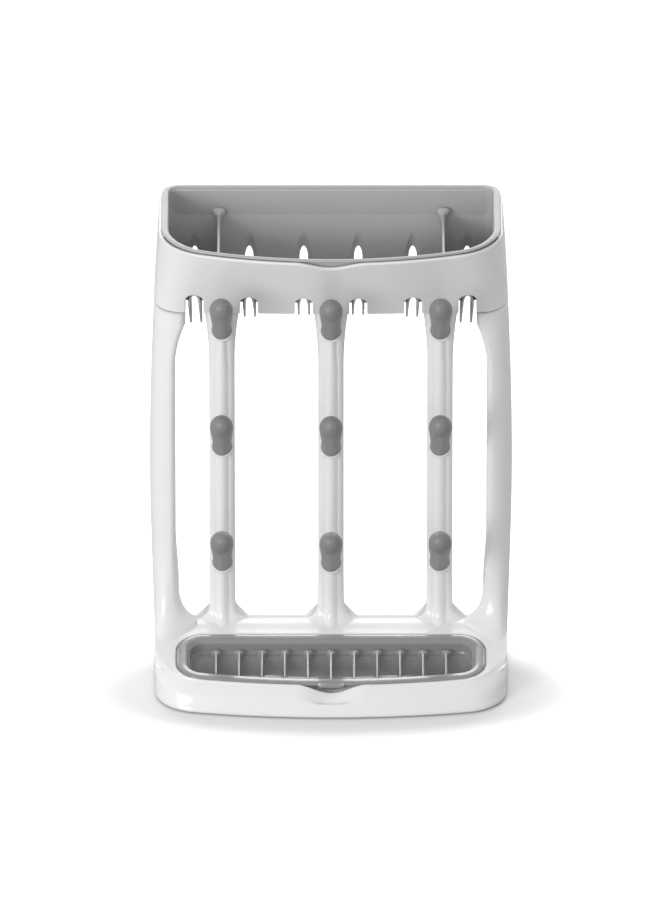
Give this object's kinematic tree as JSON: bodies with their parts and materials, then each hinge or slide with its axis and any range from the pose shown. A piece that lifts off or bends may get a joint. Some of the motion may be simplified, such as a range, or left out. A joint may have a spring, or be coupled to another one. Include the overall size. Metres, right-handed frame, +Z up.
{
  "type": "bottle drying rack",
  "caption": "Free-standing drying rack for baby bottles: upright frame with rising pegs, a lift-out drip tray in the base and a lift-out bin for small parts at the top.",
  "frame": {"origin": "centre of the footprint, on the surface that the rack stands on", "axes": "+Z up, +X to the right seen from the front, the pegs point to -Y"},
  "size_m": [0.275, 0.19, 0.3585],
  "materials": {
    "white_plastic": "gloss moulded white",
    "grey_plastic": "satin moulded mid grey",
    "peg_rubber": "soft-touch mid grey",
    "foot_rubber": "matt light grey",
    "screw_steel": "plain"
  },
  "bodies": {
    "rack": {"base_shell": "white_plastic", "base_plate": "white_plastic", "rubber_feet": "foot_rubber", "base_screws": "screw_steel", "upright_screws": "screw_steel", "post_left": "white_plastic", "post_right": "white_plastic", "column_left": "white_plastic", "column_centre": "white_plastic", "column_right": "white_plastic", "peg_sleeve_left_low": "peg_rubber", "peg_sleeve_left_mid": "peg_rubber", "peg_sleeve_left_high": "peg_rubber", "peg_sleeve_centre_low": "peg_rubber", "peg_sleeve_centre_mid": "peg_rubber", "peg_sleeve_centre_high": "peg_rubber", "peg_sleeve_right_low": "peg_rubber", "peg_sleeve_right_mid": "peg_rubber", "peg_sleeve_right_high": "peg_rubber", "top_housing": "white_plastic"},
    "bin": {"small_parts_bin": "grey_plastic"},
    "tray": {"drip_tray": "grey_plastic"}
  },
  "joints": [
    {"name": "bin_lift", "type": "slide", "parent": "rack", "child": "bin", "axis": [0, 0, 1], "range_m": [0, 0.12]},
    {"name": "tray_lift", "type": "slide", "parent": "rack", "child": "tray", "axis": [0, 0, 1], "range_m": [0, 0.03]}
  ]
}
